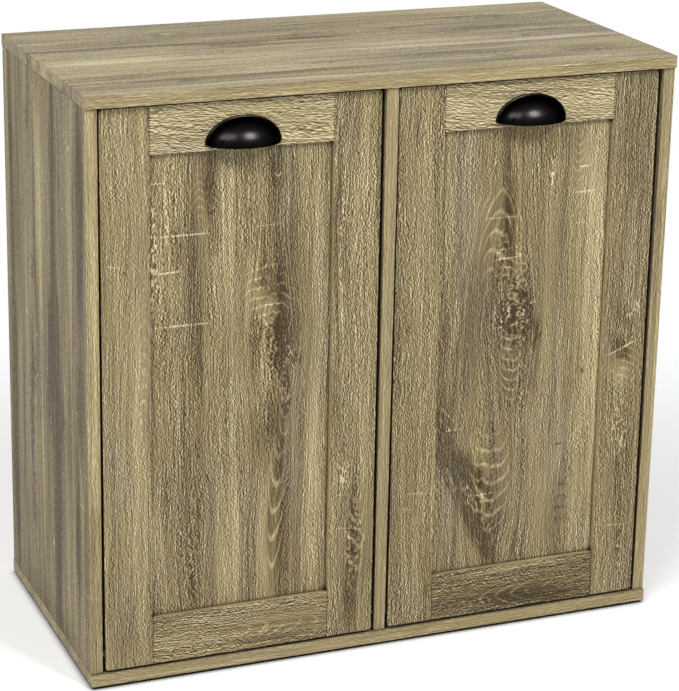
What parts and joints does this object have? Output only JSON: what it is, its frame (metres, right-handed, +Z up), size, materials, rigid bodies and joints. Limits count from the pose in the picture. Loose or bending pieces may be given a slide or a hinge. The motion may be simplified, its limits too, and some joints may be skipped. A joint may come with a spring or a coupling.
{
  "type": "laundry sorter cabinet",
  "caption": "Low wood-grain cabinet whose framed doors with cup pulls tilt out on bottom pivots, each carrying a hanging laundry bag.",
  "frame": {"origin": "centre of the bounding box's footprint, on the surface that the glides stand on", "axes": "+Z up, the doors face -Y, +X to the right as seen from the front"},
  "size_m": [0.61, 0.317, 0.5925],
  "materials": {
    "oak_laminate": "matt wood-grain foil",
    "hardboard": "raw hardboard",
    "beech": "raw",
    "zinc_steel": "zinc plated",
    "black_metal": "gloss black",
    "magnet": "dark ceramic magnet",
    "nylon": "satin",
    "canvas": "woven cotton canvas"
  },
  "bodies": {
    "case": {"top_panel": "oak_laminate", "bottom_panel": "oak_laminate", "left_side": "oak_laminate", "right_side": "oak_laminate", "divider": "oak_laminate", "left_back_panel": "hardboard", "right_back_panel": "hardboard", "glides": "nylon", "cam_bolts": "zinc_steel", "cam_discs": "zinc_steel", "case_dowels": "beech", "base_screws": "zinc_steel", "pivot_pins": "zinc_steel", "catch_cases": "nylon", "catch_magnets": "magnet", "case_wood_screws": "zinc_steel", "left_stay_guide": "nylon", "right_stay_guide": "nylon"},
    "left_door": {"left_door_outer_stile": "oak_laminate", "left_door_inner_stile": "oak_laminate", "left_door_top_rail": "oak_laminate", "left_door_bottom_rail": "oak_laminate", "left_door_panel": "oak_laminate", "left_door_dowels": "beech", "left_pivot_bushes": "nylon", "left_cup_pull": "black_metal", "left_pull_screws": "zinc_steel", "left_strike_plate": "zinc_steel", "left_door_stay": "zinc_steel", "left_outer_arm": "zinc_steel", "left_inner_arm": "zinc_steel", "left_front_rod": "zinc_steel", "left_rear_rod": "zinc_steel", "left_laundry_bag": "canvas", "left_door_screws": "zinc_steel"},
    "right_door": {"right_door_outer_stile": "oak_laminate", "right_door_inner_stile": "oak_laminate", "right_door_top_rail": "oak_laminate", "right_door_bottom_rail": "oak_laminate", "right_door_panel": "oak_laminate", "right_door_dowels": "beech", "right_pivot_bushes": "nylon", "right_cup_pull": "black_metal", "right_pull_screws": "zinc_steel", "right_strike_plate": "zinc_steel", "right_door_stay": "zinc_steel", "right_outer_arm": "zinc_steel", "right_inner_arm": "zinc_steel", "right_front_rod": "zinc_steel", "right_rear_rod": "zinc_steel", "right_laundry_bag": "canvas", "right_door_screws": "zinc_steel"}
  },
  "joints": [
    {"name": "left_door_tilt", "type": "hinge", "parent": "case", "child": "left_door", "pos_m": [-0.1495, -0.13102, 0.0327], "axis": [1, 0, 0], "range_deg": [0, 35]},
    {"name": "right_door_tilt", "type": "hinge", "parent": "case", "child": "right_door", "pos_m": [0.1495, -0.13102, 0.0327], "axis": [1, 0, 0], "range_deg": [0, 35]}
  ]
}
